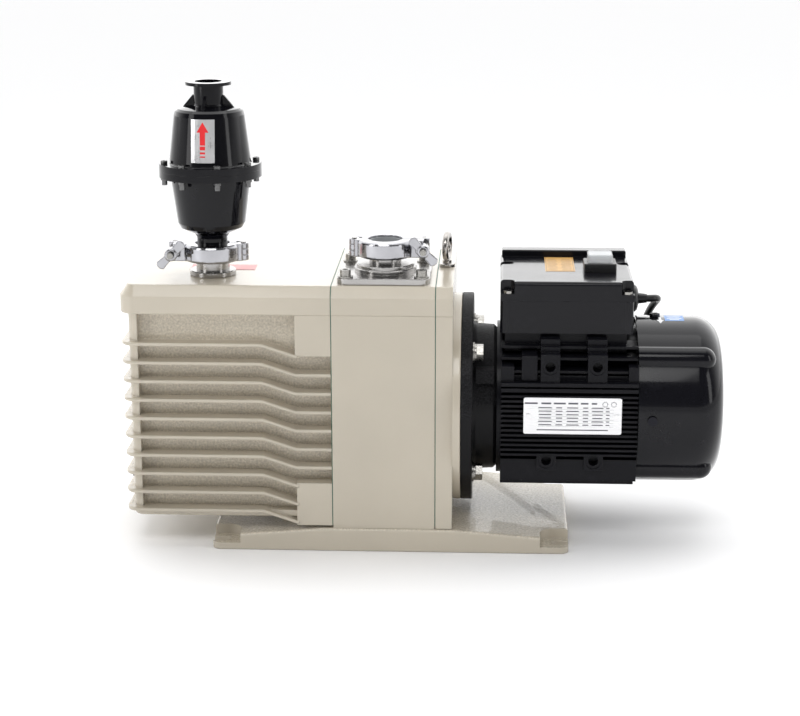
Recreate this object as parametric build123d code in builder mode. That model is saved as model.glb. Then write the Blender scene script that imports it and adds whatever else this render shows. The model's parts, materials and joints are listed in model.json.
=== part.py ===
from build123d import *
import os
from math import cos, pi, radians, sin, tan

os.makedirs("parts", exist_ok=True)

# A two-stage rotary vane vacuum pump with its motor, mist filter and mains lead.
# The origin lies on the floor under the centre of the base. +X runs to the motor, +Z is up.

# ---------------------------------------------------------------- driving dimensions
SHAFT_Z = 127.0                    # height of the shaft line
RUN = 0.05                         # radial running clearance

BASE_L, BASE_W = 336.0, 186.0
BASE_TOP, BASE_END = 21.5, 15.5    # height under the pump and at the feet
FOOT_PAD = 6.0                     # floor of each foot recess
FOOT_RECESS = 27.0
SLOT_R, SLOT_Y, SLOT_DEEP = 5.5, 80.0, 16.0

RIM_LEFT = -249.0                  # left end of the oil case's rim
CASE_LEFT = -242.5                 # left wall of the oil case
SEAM_1, SEAM_2 = -54.0, 42.0       # oil case to housing, housing to end plate
GASKET = 0.8
PLATE_RIGHT = 58.2                 # outer face of the end plate
RIM_Y, RIM_LOW, RIM_EDGE, RIM_TOP = 92.0, 227.0, 243.6, 253.6
RIM_TAPER = 35.0                   # degrees, slope of the rim's bevel
BODY_Y = 90.5                      # half width of the blocks below the rim

WALL_Y, CASE_WALL = 75.0, 6.0      # recessed side wall of the oil case
COLUMN_L, COLUMN_Y = 9.0, 85.3
PAD_X, CASE_BOTTOM, PAD_BOTTOM = -87.0, 30.0, 24.0
FIN_COUNT, FIN_PITCH, FIN_TOP_Z, FIN_T = 10, 17.9, 199.8, 3.2
FIN_KINK_X, FIN_DROP = -118.0, 10.3

FLANGE_R, FLANGE_RIGHT = 100.0, 76.5
BOSS_RIGHT = 65.6
BOLT_PCD = 165.0

HOLE_R = 40.0                      # cylinder bore
ROTOR_R, ROTOR_GAP = 33.0, 0.3
OFFSET = HOLE_R - ROTOR_R - ROTOR_GAP
CYLINDER_R = 54.0
JOURNAL_R = 12.0
HIGH = (-16.0, SEAM_2 + GASKET)    # span of each stage along the shaft
LOW = (-54.0, -28.0)
OUTER_PLATE = -64.0
VANE_T, VANE_H = 6.0, 25.0

BELL_R, BELL_RIGHT = 70.5, 99.0
FRAME_RIGHT = 232.0
FRAME_R, CORE_R = 67.0, 62.0
MOTOR_Y = 77.0                     # half width over the frame's fins
COWL_R, COWL_RIGHT, COWL_T = 79.5, 314.6, 2.0
MOTOR_SHAFT_R = 9.95
BEARING_R, BEARING_W = 23.5, 14.0

PORT_Y = -38.0
INLET_X, EXHAUST_X = -6.0, -168.0
TUBE_R, PORT_R, SMALL_FLANGE_R = 15.0, 12.5, 20.0
INLET_Z, EXHAUST_Z = 281.0, 276.0  # middle of each clamp
CLAMP_H, CLAMP_R, CLAMP_OPEN = 16.0, 27.0, 16.2
BOLT_AXIS = 36.0                   # clamp centre to swing bolt
FILTER_TOP, FILTER_SPLIT = 434.4, 353.7

BOX_X, BOX_Y = (101.5, 225.5), (-50.0, 79.0)
BOX_LOW, BOX_SEAM, BOX_TOP, BOX_RAISED = 202.0, 232.8, 251.0, 257.5

CORD_R = 3.5
GLAND = (28.0, 218.5)              # y and z of the cable gland
GLAND_OUT = BOX_X[1] + 17.5
COWL_SCREW_X = 243.5
TOP_SCREW_X, TOP_SCREW_Y, TOP_SCREW_R = 249.0, 2.0, 4.8


# ---------------------------------------------------------------- helpers
def save(builder, label):
    builder.part.label = label
    export_step(builder.part, f"parts/{label}.step")


def face(x, y=0.0, z=SHAFT_Z):
    """A plane across the shaft at x: its own x runs along +Y and its own y along +Z."""
    return Plane((x, y, z), x_dir=(0, 1, 0), z_dir=(1, 0, 0))


def rod(x0, x1, radius, y=0.0, z=SHAFT_Z, mode=Mode.ADD):
    """A cylinder along X from x0 to x1."""
    with Locations(((x0 + x1) / 2, y, z)):
        Cylinder(radius, x1 - x0, rotation=(0, 90, 0), mode=mode)


def post(x, y, z0, z1, radius, mode=Mode.ADD):
    """A cylinder along Z from z0 to z1."""
    with Locations((x, y, (z0 + z1) / 2)):
        Cylinder(radius, z1 - z0, mode=mode)


def pin_y(x, z, y0, y1, radius, mode=Mode.ADD):
    """A cylinder along Y from y0 to y1."""
    with Locations((x, (y0 + y1) / 2, z)):
        Cylinder(radius, y1 - y0, rotation=(90, 0, 0), mode=mode)


def block(x, y, z, mode=Mode.ADD):
    """A box over three spans, each a (low, high) pair."""
    with Locations(((x[0] + x[1]) / 2, (y[0] + y[1]) / 2, (z[0] + z[1]) / 2)):
        Box(x[1] - x[0], y[1] - y[0], z[1] - z[0], mode=mode)


def both(span):
    return (-span, span)


def screw_z(x, y, seat, head_r, head_h, shank_r, shank_l, socket_r, up=1):
    """A socket screw along Z whose head stands on seat, pointing up (1) or down (-1)."""
    tip = sorted((seat, seat - up * shank_l))
    head = sorted((seat, seat + up * head_h))
    hollow = sorted((seat + up * head_h / 2, seat + up * head_h))
    post(x, y, tip[0], tip[1], shank_r)
    post(x, y, head[0], head[1], head_r)
    post(x, y, hollow[0], hollow[1], socket_r, mode=Mode.SUBTRACT)


# ---------------------------------------------------------------- base
HOUSING_SCREWS = [(x, y) for x in (-32.0, 30.0) for y in (-60.0, 60.0)]
POCKET_TOP = 9.0

with BuildPart() as base:
    with BuildSketch(Plane.XZ):
        Polygon(
            (-BASE_L / 2, 0), (BASE_L / 2, 0), (BASE_L / 2, BASE_END), (137, BASE_END),
            (62, BASE_TOP), (-62, BASE_TOP), (-137, BASE_END), (-BASE_L / 2, BASE_END),
            align=None,
        )
    extrude(amount=BASE_W / 2, both=True)
    fillet(base.edges().filter_by(Axis.Z), 8)
    rims = [e for e in base.edges() if e.bounding_box().min.Z > BASE_END - 0.1]
    fillet([e for e in rims if abs(e.center().Y) > BASE_W / 2 - 9], 3)
    for side in (-1, 1):
        block((side * 70 - 50, side * 70 + 50), both(75), (0, POCKET_TOP), Mode.SUBTRACT)
    for sx in (-1, 1):
        for sy in (-1, 1):
            inner_x = sx * (BASE_L / 2 - FOOT_RECESS)
            inner_y = sy * (BASE_W / 2 - FOOT_RECESS)
            with BuildSketch(Plane.XY.offset(FOOT_PAD)):
                with Locations((inner_x + sx * 20, inner_y + sy * 20)):
                    RectangleRounded(40, 40, 13)
            extrude(amount=BASE_TOP, mode=Mode.SUBTRACT)
            with BuildSketch():
                with Locations((sx * (BASE_L / 2 + 20 - SLOT_DEEP), sy * SLOT_Y)):
                    SlotOverall(40, 2 * SLOT_R)
            extrude(amount=FOOT_PAD, mode=Mode.SUBTRACT)
    for x, y in HOUSING_SCREWS:
        post(x, y, 0, BASE_TOP + 1, 4.5, Mode.SUBTRACT)
save(base, "base")


# ---------------------------------------------------------------- rim and cast blocks
def rim_between(x0, x1):
    """The bevelled rim that runs along the top of the three castings, from x0 to x1."""
    reach = 80.0
    with BuildPart() as rim:
        with BuildSketch(Plane.XY.offset(RIM_LOW)) as outline:
            with Locations(((RIM_LEFT + reach) / 2, 0)):
                Rectangle(reach - RIM_LEFT, 2 * RIM_Y)
            fillet(outline.vertices().sort_by(Axis.X)[:2], 14)
        extrude(amount=RIM_EDGE - RIM_LOW)
        extrude(rim.faces().sort_by(Axis.Z)[-1], amount=RIM_TOP - RIM_EDGE, taper=RIM_TAPER)
        flat = [e for e in rim.edges() if e.bounding_box().size.Z < 0.01]
        fillet([e for e in flat if e.center().X < reach - 10], 1.6)
        cut = (x1, reach + 5)
        block(cut, both(RIM_Y + 5), (RIM_LOW - 5, RIM_TOP + 5), Mode.SUBTRACT)
        if x0 > RIM_LEFT:
            block((RIM_LEFT - 5, x0), both(RIM_Y + 5), (RIM_LOW - 5, RIM_TOP + 5), Mode.SUBTRACT)
    return rim.part


def fin(z, x_end):
    """A cooling fin round the oil case, level on the left and stepped down on the right."""
    low = z - FIN_DROP
    with BuildPart() as plate:
        with BuildSketch(Plane.XZ):
            Polygon(
                (RIM_LEFT, z), (FIN_KINK_X, z), (PAD_X, low), (x_end, low),
                (x_end, low - FIN_T), (PAD_X, low - FIN_T), (FIN_KINK_X, z - FIN_T),
                (RIM_LEFT, z - FIN_T),
                align=None,
            )
        extrude(amount=RIM_Y - 0.7, both=True)
        fillet(plate.edges().filter_by(Axis.Z).sort_by(Axis.X)[:2], 14)
        edges = [e for e in plate.edges() if e.bounding_box().max.X < x_end - 1
                 or e.bounding_box().size.X > 1]
        tips = [e for e in edges if e.bounding_box().size.Y < 20
                or e.center().X < CASE_LEFT]
        fillet(tips, 1.1)
    return plate.part


fins = []
for index in range(FIN_COUNT):
    ends_at_pad = index == 0 or index >= FIN_COUNT - 3
    fins.append(fin(FIN_TOP_Z - FIN_PITCH * index, PAD_X + 2 if ends_at_pad else SEAM_1))

SIGHT_Z, DRAIN_Z, FILLER = 92.0, 47.0, (45.0, 190.0)
LOW_PAD_TOP, HIGH_PAD_BOTTOM = 65.4, 188.3

with BuildPart() as oil_case:
    block((CASE_LEFT, SEAM_1), both(WALL_Y), (CASE_BOTTOM, RIM_LOW + 1))
    with BuildSketch(Plane.XY.offset(CASE_BOTTOM)) as columns:
        with Locations((CASE_LEFT + COLUMN_L / 2, 0)):
            Rectangle(COLUMN_L, 2 * COLUMN_Y)
        fillet(columns.vertices().sort_by(Axis.X)[:2], 9)
    extrude(amount=RIM_LOW + 1 - CASE_BOTTOM)
    with BuildSketch(Plane.XY.offset(CASE_BOTTOM)) as floor_plan:
        with Locations(((CASE_LEFT + SEAM_1) / 2, 0)):
            Rectangle(SEAM_1 - CASE_LEFT, 2 * COLUMN_Y)
        fillet(floor_plan.vertices().sort_by(Axis.X)[:2], 9)
    extrude(amount=7)
    fillet([e for e in oil_case.edges() if abs(e.center().Z - CASE_BOTTOM) < 0.1
            and e.center().X < SEAM_1 - 5], 2.5)
    block((PAD_X, SEAM_1), both(BODY_Y), (PAD_BOTTOM, PAD_BOTTOM + 12))
    for side in (-1, 1):
        front = sorted((side * (WALL_Y - 2), side * BODY_Y))
        block((PAD_X, SEAM_1), front, (PAD_BOTTOM, LOW_PAD_TOP))
        block((PAD_X, SEAM_1), front, (HIGH_PAD_BOTTOM, RIM_LOW + 1))
    add(fins)
    add(rim_between(RIM_LEFT, SEAM_1))
    rod(RIM_LEFT, CASE_LEFT + 1, 21, z=SIGHT_Z)
    rod(RIM_LEFT, CASE_LEFT + 1, 13, z=DRAIN_Z)
    rod(RIM_LEFT, CASE_LEFT + 1, 15, y=FILLER[0], z=FILLER[1])
    inside = (CASE_LEFT + CASE_WALL, SEAM_1)
    block(inside, both(WALL_Y - CASE_WALL), (CASE_BOTTOM + 6, 243), Mode.SUBTRACT)
    rod(RIM_LEFT - 1, CASE_LEFT + 7, 15, z=SIGHT_Z, mode=Mode.SUBTRACT)
    rod(RIM_LEFT - 1, CASE_LEFT + 7, 7, z=DRAIN_Z, mode=Mode.SUBTRACT)
    rod(RIM_LEFT - 1, CASE_LEFT + 7, 9, y=FILLER[0], z=FILLER[1], mode=Mode.SUBTRACT)
    post(EXHAUST_X, PORT_Y, 240, RIM_TOP + 1, PORT_R, Mode.SUBTRACT)
save(oil_case, "oil_case")

HOUSING_X = (SEAM_1 + GASKET, SEAM_2)
PLATE_X = (SEAM_2 + GASKET, PLATE_RIGHT)


def gasket_at(x):
    """A gasket sheet with the outline of the castings it seals."""
    block((x, x + GASKET), both(BODY_Y - 0.2), (PAD_BOTTOM + 0.5, RIM_LOW + 0.5))
    add(rim_between(x, x + GASKET))


with BuildPart() as gaskets:
    for seam in (SEAM_1, SEAM_2):
        gasket_at(seam)
        block((seam, seam + GASKET), both(WALL_Y - 8), (42, 236), Mode.SUBTRACT)
save(gaskets, "gaskets")

BALLAST = (0.0, 200.0)             # x and z of the gas ballast valve on the rear face

with BuildPart() as pump_housing:
    block(HOUSING_X, both(BODY_Y), (BASE_TOP, RIM_LOW + 1))
    add(rim_between(*HOUSING_X))
    block(HOUSING_X, both(BODY_Y - 13), (BASE_TOP + 14, 238), Mode.SUBTRACT)
    pin_y(BALLAST[0], BALLAST[1], BODY_Y, BODY_Y + 5, 13)
    pin_y(BALLAST[0], BALLAST[1], BODY_Y - 14, BODY_Y + 6, 4, Mode.SUBTRACT)
    post(INLET_X, PORT_Y, 236, RIM_TOP + 1, PORT_R, Mode.SUBTRACT)
    for x, y in HOUSING_SCREWS:
        post(x, y, BASE_TOP - 1, BASE_TOP + 12, 4, Mode.SUBTRACT)
save(pump_housing, "pump_housing")

EYE, EYE_TURN = (50.5, 4.0), 8.0
SEAL_X, SEAL_R = (46.0, 56.0), 20.0

with BuildPart() as end_plate:
    block(PLATE_X, both(BODY_Y), (BASE_TOP + 0.5, RIM_LOW + 1))
    add(rim_between(*PLATE_X))
    rod(PLATE_RIGHT, BOSS_RIGHT, FLANGE_R)
    fillet([e for e in end_plate.edges().filter_by(GeomType.CIRCLE)
            if abs(e.center().X - BOSS_RIGHT) < 0.1], 1.2)
    rod(PLATE_RIGHT, BOSS_RIGHT + 1, 60, mode=Mode.SUBTRACT)
    rod(PLATE_X[0] - 1, SEAL_X[0], JOURNAL_R + 0.3, mode=Mode.SUBTRACT)
    rod(SEAL_X[0], PLATE_RIGHT + 1, SEAL_R, mode=Mode.SUBTRACT)
    with BuildSketch(face(PLATE_X[0] + 4)):
        with PolarLocations(BOLT_PCD / 2, 4, start_angle=45):
            Circle(5)
    extrude(amount=30, mode=Mode.SUBTRACT)
    post(EYE[0], EYE[1], RIM_TOP - 14, RIM_TOP + 1, 4, Mode.SUBTRACT)
save(end_plate, "end_plate")

with BuildPart() as shaft_seal:
    rod(SEAL_X[0], SEAL_X[1], SEAL_R)
    rod(SEAL_X[0], SEAL_X[1], JOURNAL_R + RUN, mode=Mode.SUBTRACT)
    rod(SEAL_X[1] - 4, SEAL_X[1], SEAL_R - 3, mode=Mode.SUBTRACT)
save(shaft_seal, "shaft_seal")

# ---------------------------------------------------------------- pump stages
VALVE_X = sum(LOW) / 2
VALVE_FLAT = SHAFT_Z + 46.0
VALVE_LIFT = 2.0


def cylinder(span):
    """A stage's cylinder: round outside, with its bore set below the shaft line."""
    rod(span[0], span[1], CYLINDER_R)
    rod(span[0] - 1, span[1] + 1, HOLE_R, z=SHAFT_Z - OFFSET, mode=Mode.SUBTRACT)


with BuildPart() as high_cylinder:
    cylinder(HIGH)
    post(INLET_X, -20, SHAFT_Z + 20, SHAFT_Z + 60, 9, Mode.SUBTRACT)
save(high_cylinder, "high_cylinder")

with BuildPart() as low_cylinder:
    cylinder(LOW)
    block((LOW[0] - 1, LOW[1] + 1), both(30), (VALVE_FLAT, VALVE_FLAT + 20), Mode.SUBTRACT)
    for hole_y in (-5, 5):
        post(VALVE_X, hole_y, SHAFT_Z + 20, VALVE_FLAT + 1, 2, Mode.SUBTRACT)
    post(VALVE_X, 0, VALVE_FLAT - 5, VALVE_FLAT + 5, 1.5)
    post(VALVE_X, 0, VALVE_FLAT + 1.5 + VALVE_LIFT + 0.5, VALVE_FLAT + 7, 4)
save(low_cylinder, "low_cylinder")

with BuildPart() as exhaust_valve:
    post(VALVE_X, 0, VALVE_FLAT, VALVE_FLAT + 1.2, 10)
    post(VALVE_X, 0, VALVE_FLAT - 1, VALVE_FLAT + 3, 1.8, Mode.SUBTRACT)
save(exhaust_valve, "exhaust_valve")

with BuildPart() as side_plates:
    for span in ((LOW[1], HIGH[0]), (OUTER_PLATE, LOW[0])):
        rod(span[0], span[1], CYLINDER_R)
        rod(span[0] - 1, span[1] + 1, JOURNAL_R + RUN, mode=Mode.SUBTRACT)
save(side_plates, "side_plates")

HUB_X, JAW_X, FAR_HUB_X = (60.0, 72.0), (72.0, 82.0), (82.0, 92.0)
HUB_R = 24.0

with BuildPart() as pump_rotor:
    rod(OUTER_PLATE + 1, HUB_X[0] + 8, JOURNAL_R)
    for span in (HIGH, LOW):
        rotor = (span[0] + 0.1, span[1] - 0.1)
        rod(rotor[0], rotor[1], ROTOR_R)
        block(rotor, both(ROTOR_R + 1), (SHAFT_Z - VANE_T / 2 - RUN, SHAFT_Z + VANE_T / 2 + RUN),
              Mode.SUBTRACT)
save(pump_rotor, "pump_rotor")

for stage, span in (("high", HIGH), ("low", LOW)):
    for side, sign in (("front", -1), ("rear", 1)):
        reach = sorted((sign * (ROTOR_R - 0.2), sign * (ROTOR_R - 0.2 - VANE_H)))
        with BuildPart() as vane:
            block((span[0] + 0.2, span[1] - 0.2), reach,
                  (SHAFT_Z - VANE_T / 2, SHAFT_Z + VANE_T / 2))
        save(vane, f"{stage}_vane_{side}")


def wedges(x, inner, outer, count, width, turn):
    """Sectors of a ring, count of them, each width degrees wide."""
    with BuildSketch(face(x)) as sectors:
        Circle(outer)
        Circle(inner, mode=Mode.SUBTRACT)
        with BuildSketch(face(x), mode=Mode.INTERSECT):
            for k in range(count):
                middle = radians(turn + 360 * k / count)
                half = radians(width / 2)
                far = 2 * outer
                Polygon(
                    (0, 0),
                    (far * cos(middle - half), far * sin(middle - half)),
                    (far * cos(middle + half), far * sin(middle + half)),
                    align=None,
                )
    return sectors.sketch


JAWS = 3
with BuildPart() as coupling_hubs:
    for hub, jaw, turn in ((HUB_X, 1, 0), (FAR_HUB_X, -1, 60)):
        rod(hub[0], hub[1], HUB_R)
        start = hub[1] if jaw > 0 else hub[0]
        extrude(wedges(start, 9, HUB_R, JAWS, 38, turn), amount=jaw * 9.5)
    rod(HUB_X[0] - 1, HUB_X[0] + 8, JOURNAL_R, mode=Mode.SUBTRACT)
    rod(FAR_HUB_X[0] + 2, FAR_HUB_X[1] + 1, MOTOR_SHAFT_R, mode=Mode.SUBTRACT)
save(coupling_hubs, "coupling_hubs")

with BuildPart() as coupling_spider:
    rod(JAW_X[0] + 0.2, JAW_X[1] - 0.2, 8.5)
    extrude(wedges(JAW_X[0] + 0.2, 8, HUB_R - 1, 2 * JAWS, 20, 30), amount=9.6)
save(coupling_spider, "coupling_spider")


# ---------------------------------------------------------------- ports and clamps
def ring_profile(x, y, points):
    """A closed outline of (radius, height) points, on a plane through the vertical axis at x, y."""
    with BuildSketch(Plane((x, y, 0), x_dir=(1, 0, 0), z_dir=(0, -1, 0))) as outline:
        Polygon(*points, align=None)
    return outline.sketch


def turned(x, y, points):
    """A body turned about the vertical axis at x, y."""
    revolve(ring_profile(x, y, points), axis=Axis((x, y, 0), (0, 0, 1)))


HALF_GAP, FLANGE_T, BEVEL = 1.5, 3.0, 1.8
SEAT = HALF_GAP + FLANGE_T
INLET_PLATE, INLET_BOLTS, PLATE_T = 86.0, 70.0, 6.0
PLATE_TOP = RIM_TOP + PLATE_T

with BuildPart() as inlet_flange:
    with BuildSketch(Plane.XY.offset(RIM_TOP)):
        with Locations((INLET_X, PORT_Y)):
            RectangleRounded(INLET_PLATE, INLET_PLATE, 10)
            with GridLocations(INLET_BOLTS, INLET_BOLTS, 2, 2):
                Circle(4.2, mode=Mode.SUBTRACT)
    extrude(amount=PLATE_T)
    chamfer([e for e in inlet_flange.edges() if abs(e.center().Z - PLATE_TOP) < 0.1
             and e.length > 14 and e.geom_type != GeomType.CIRCLE], 0.6)
    turned(INLET_X, PORT_Y, [
        (PORT_R, RIM_TOP), (29, RIM_TOP), (29, PLATE_TOP + 3), (28.2, PLATE_TOP + 3.8),
        (27, PLATE_TOP + 3.8), (27, PLATE_TOP + 6.2), (26.2, PLATE_TOP + 7), (TUBE_R, PLATE_TOP + 7),
        (TUBE_R, INLET_Z - SEAT - BEVEL), (SMALL_FLANGE_R, INLET_Z - SEAT),
        (SMALL_FLANGE_R, INLET_Z - HALF_GAP), (PORT_R, INLET_Z - HALF_GAP),
    ])
    post(INLET_X, PORT_Y, RIM_TOP - 1, INLET_Z, PORT_R, Mode.SUBTRACT)
save(inlet_flange, "inlet_flange")

with BuildPart() as socket_screws:
    for sx in (-0.5, 0.5):
        for sy in (-0.5, 0.5):
            x, y = INLET_X + sx * INLET_BOLTS, PORT_Y + sy * INLET_BOLTS
            post(x, y, PLATE_TOP, PLATE_TOP + 1.2, 7)
            screw_z(x, y, PLATE_TOP + 1.2, 5, 6, 3.9, 7.1, 2.6)
    for x, y in HOUSING_SCREWS:
        screw_z(x, y, POCKET_TOP, 6.5, 8, 3.9, 22, 3.2, up=-1)
save(socket_screws, "socket_screws")

with BuildPart() as exhaust_port:
    turned(EXHAUST_X, PORT_Y, [
        (PORT_R, RIM_TOP), (21, RIM_TOP), (21.6, RIM_TOP + 0.8), (21.6, RIM_TOP + 4.4),
        (20.8, RIM_TOP + 5.2), (15.6, RIM_TOP + 5.2), (15.6, EXHAUST_Z - SEAT - BEVEL),
        (SMALL_FLANGE_R, EXHAUST_Z - SEAT), (SMALL_FLANGE_R, EXHAUST_Z - HALF_GAP),
        (PORT_R, EXHAUST_Z - HALF_GAP),
    ])
save(exhaust_port, "exhaust_port")

CUP_FLOOR = 1.8   # above the middle of the clamp

with BuildPart() as inlet_blank:
    turned(INLET_X, PORT_Y, [
        (0, INLET_Z + HALF_GAP), (SMALL_FLANGE_R, INLET_Z + HALF_GAP),
        (SMALL_FLANGE_R, INLET_Z + SEAT), (TUBE_R, INLET_Z + SEAT + BEVEL),
        (TUBE_R - 1.2, INLET_Z + SEAT + BEVEL), (TUBE_R - 1.6, INLET_Z + CUP_FLOOR),
        (0, INLET_Z + CUP_FLOOR),
    ])
save(inlet_blank, "inlet_blank")

with BuildPart() as centring_rings:
    for x, z in ((INLET_X, INLET_Z), (EXHAUST_X, EXHAUST_Z)):
        turned(x, PORT_Y, [
            (PORT_R - 1.5, z - 5), (PORT_R - 0.1, z - 5), (PORT_R - 0.1, z - HALF_GAP),
            (17.8, z - HALF_GAP), (17.8, z + HALF_GAP), (PORT_R - 1.5, z + HALF_GAP),
        ])
save(centring_rings, "centring_rings")

CLAMPS = {"inlet": (INLET_X, INLET_Z, 1), "exhaust": (EXHAUST_X, EXHAUST_Z, -1)}
HINGE_AXIS, PIVOT_Y, PIVOT_R = 29.0, 6.0, 2.4
FORK_FACE, FORK_SLOT = 11.0, 3.4
CLAMP_SPLIT = 0.5
HALF_H = CLAMP_H / 2


def both_y(reach):
    return (PORT_Y - reach, PORT_Y + reach)


def clamp_half(label, x, z, hand, side):
    """One half of a clamp ring. hand is 1 when the swing bolt stands on the +X side; side is -1
    for the front half, which carries the fork, and 1 for the rear half, which carries the bolt."""
    def across(a, b):
        return sorted((x + hand * a, x + hand * b))

    def deep(a, b):
        return sorted((PORT_Y + side * a, PORT_Y + side * b))

    span = (z - HALF_H, z + HALF_H)
    soft = 2.2
    with BuildPart() as half:
        turned(x, PORT_Y, [
            (0, span[0]), (CLAMP_R - soft, span[0]), (CLAMP_R - soft / 3, span[0] + soft / 3),
            (CLAMP_R, span[0] + soft), (CLAMP_R, span[1] - soft),
            (CLAMP_R - soft / 3, span[1] - soft / 3), (CLAMP_R - soft, span[1]), (0, span[1]),
        ])
        with BuildSketch(Plane.XY.offset(span[0])):
            for near, far, depth in ((18, 41 if side > 0 else BOLT_AXIS, FORK_FACE),
                                     (-18, -HINGE_AXIS, 9)):
                with Locations((x + hand * (near + far) / 2, PORT_Y)):
                    RectangleRounded(abs(far - near), 2 * depth, 2.5)
        extrude(amount=CLAMP_H)
        block(across(-60, 60), deep(-40, CLAMP_SPLIT), (span[0] - 1, span[1] + 1), Mode.SUBTRACT)
        groove = ring_profile(x, PORT_Y, [
            (0, span[0] - 1), (CLAMP_OPEN, span[0] - 1), (CLAMP_OPEN, z - SEAT - 1.6),
            (SMALL_FLANGE_R + 0.4, z - SEAT - 0.1), (SMALL_FLANGE_R + 0.4, z + SEAT + 0.1),
            (CLAMP_OPEN, z + SEAT + 1.6), (CLAMP_OPEN, span[1] + 1), (0, span[1] + 1),
        ])
        revolve(groove, axis=Axis((x, PORT_Y, 0), (0, 0, 1)), mode=Mode.SUBTRACT)
        knuckle = 3.0
        hinge_x = x - hand * HINGE_AXIS
        if side < 0:
            post(hinge_x, PORT_Y, span[0], span[1], 5)
            block(across(-40, -22), both_y(6), (z - knuckle, z + knuckle), Mode.SUBTRACT)
        else:
            for low, high in ((span[0] - 1, z - knuckle), (z + knuckle, span[1] + 1)):
                block(across(-40, -22), both_y(6), (low, high), Mode.SUBTRACT)
            post(hinge_x, PORT_Y, z - knuckle + 0.2, z + knuckle - 0.2, 5)
        post(hinge_x, PORT_Y, span[0] - 1, span[1] + 1, 2.5, Mode.SUBTRACT)
        slot_z = (z - FORK_SLOT, z + FORK_SLOT)
        block(across(29, 45), deep(-1, 16), slot_z, Mode.SUBTRACT)
        if side > 0:
            post(x + hand * BOLT_AXIS, PORT_Y + PIVOT_Y, span[0] - 1, span[1] + 1,
                 PIVOT_R + RUN, Mode.SUBTRACT)
    save(half, label)


for port, (x, z, hand) in CLAMPS.items():
    clamp_half(f"{port}_clamp_front", x, z, hand, -1)
    clamp_half(f"{port}_clamp_rear", x, z, hand, 1)

with BuildPart() as clamp_pins:
    for x, z, hand in CLAMPS.values():
        post(x - hand * HINGE_AXIS, PORT_Y, z - HALF_H - 0.8, z + HALF_H + 0.8, 2.5)
save(clamp_pins, "clamp_pins")

NUT_FACE = PORT_Y - FORK_FACE - 0.3
NUT_L, NUT_R, BOLT_L, BOLT_R = 12.0, 6.0, 28.0, 2.9
WING_R, WING_T, WING_AT = 16.7, 3.2, 8.0

for port, (x, z, hand) in CLAMPS.items():
    axis_x = x + hand * BOLT_AXIS
    with BuildPart() as swing_bolt:
        post(axis_x, PORT_Y + PIVOT_Y, z - 3.1, z + 3.1, 5)
        post(axis_x, PORT_Y + PIVOT_Y, z - HALF_H + 0.2, z + HALF_H - 0.2, PIVOT_R)
        pin_y(axis_x, z, PORT_Y - BOLT_L, PORT_Y + PIVOT_Y, BOLT_R)
    save(swing_bolt, f"{port}_swing_bolt")
    with BuildPart() as wing_nut:
        pin_y(axis_x, z, NUT_FACE - NUT_L, NUT_FACE, NUT_R)
        fillet(wing_nut.edges().filter_by(GeomType.CIRCLE).sort_by(Axis.Y)[:1], 1.5)
        for turn in (135, -45):
            along = (hand * cos(radians(turn)), 0, sin(radians(turn)))
            plane = Plane((axis_x, NUT_FACE - WING_AT, z), x_dir=along, z_dir=(0, -1, 0))
            with BuildSketch(plane):
                with BuildLine():
                    Polyline((3.5, -3.6), (9, -3.9), (WING_R - 2.6, -4.6))
                    ThreePointArc((WING_R - 2.6, -4.6), (WING_R, 0), (WING_R - 2.6, 4.6))
                    Polyline((WING_R - 2.6, 4.6), (9, 3.9), (3.5, 3.6), (3.5, -3.6))
                make_face()
            extrude(amount=WING_T)
        pin_y(axis_x, z, NUT_FACE - NUT_L - 1, NUT_FACE + 1, BOLT_R + RUN, Mode.SUBTRACT)
    save(wing_nut, f"{port}_wing_nut")

# ---------------------------------------------------------------- mist filter
FILTER_R, FILTER_T = 47.5, 6.3
FLANGE_UNDER = 347.2
BOWL_Z = EXHAUST_Z + HALF_GAP
FILTER_BOLT_R, FILTER_BOLTS, FILTER_TURN = 42.8, 8, 16.0

with BuildPart() as filter_bowl:
    turned(EXHAUST_X, PORT_Y, [
        (PORT_R, BOWL_Z), (SMALL_FLANGE_R, BOWL_Z), (SMALL_FLANGE_R, BOWL_Z + FLANGE_T),
        (TUBE_R, BOWL_Z + FLANGE_T + BEVEL), (14.2, BOWL_Z + 7), (14.2, 289.5), (16.5, 293.5),
        (24, 297), (29, 299.5), (31.4, 304), (36.8, 346), (37.2, FLANGE_UNDER), (FILTER_R, FLANGE_UNDER),
        (FILTER_R, FILTER_SPLIT), (33.5, FILTER_SPLIT), (28.4, 304), (24, 300.5), (PORT_R, 296),
    ])
    with BuildSketch(Plane.XY.offset(FILTER_SPLIT)):
        with Locations((EXHAUST_X, PORT_Y)):
            with PolarLocations(FILTER_BOLT_R, FILTER_BOLTS, start_angle=FILTER_TURN):
                Circle(2.6)
    extrude(amount=-10, mode=Mode.SUBTRACT)
save(filter_bowl, "filter_bowl")

GUSSET_TURNS = (-6, 84, 174, 264)

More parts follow.
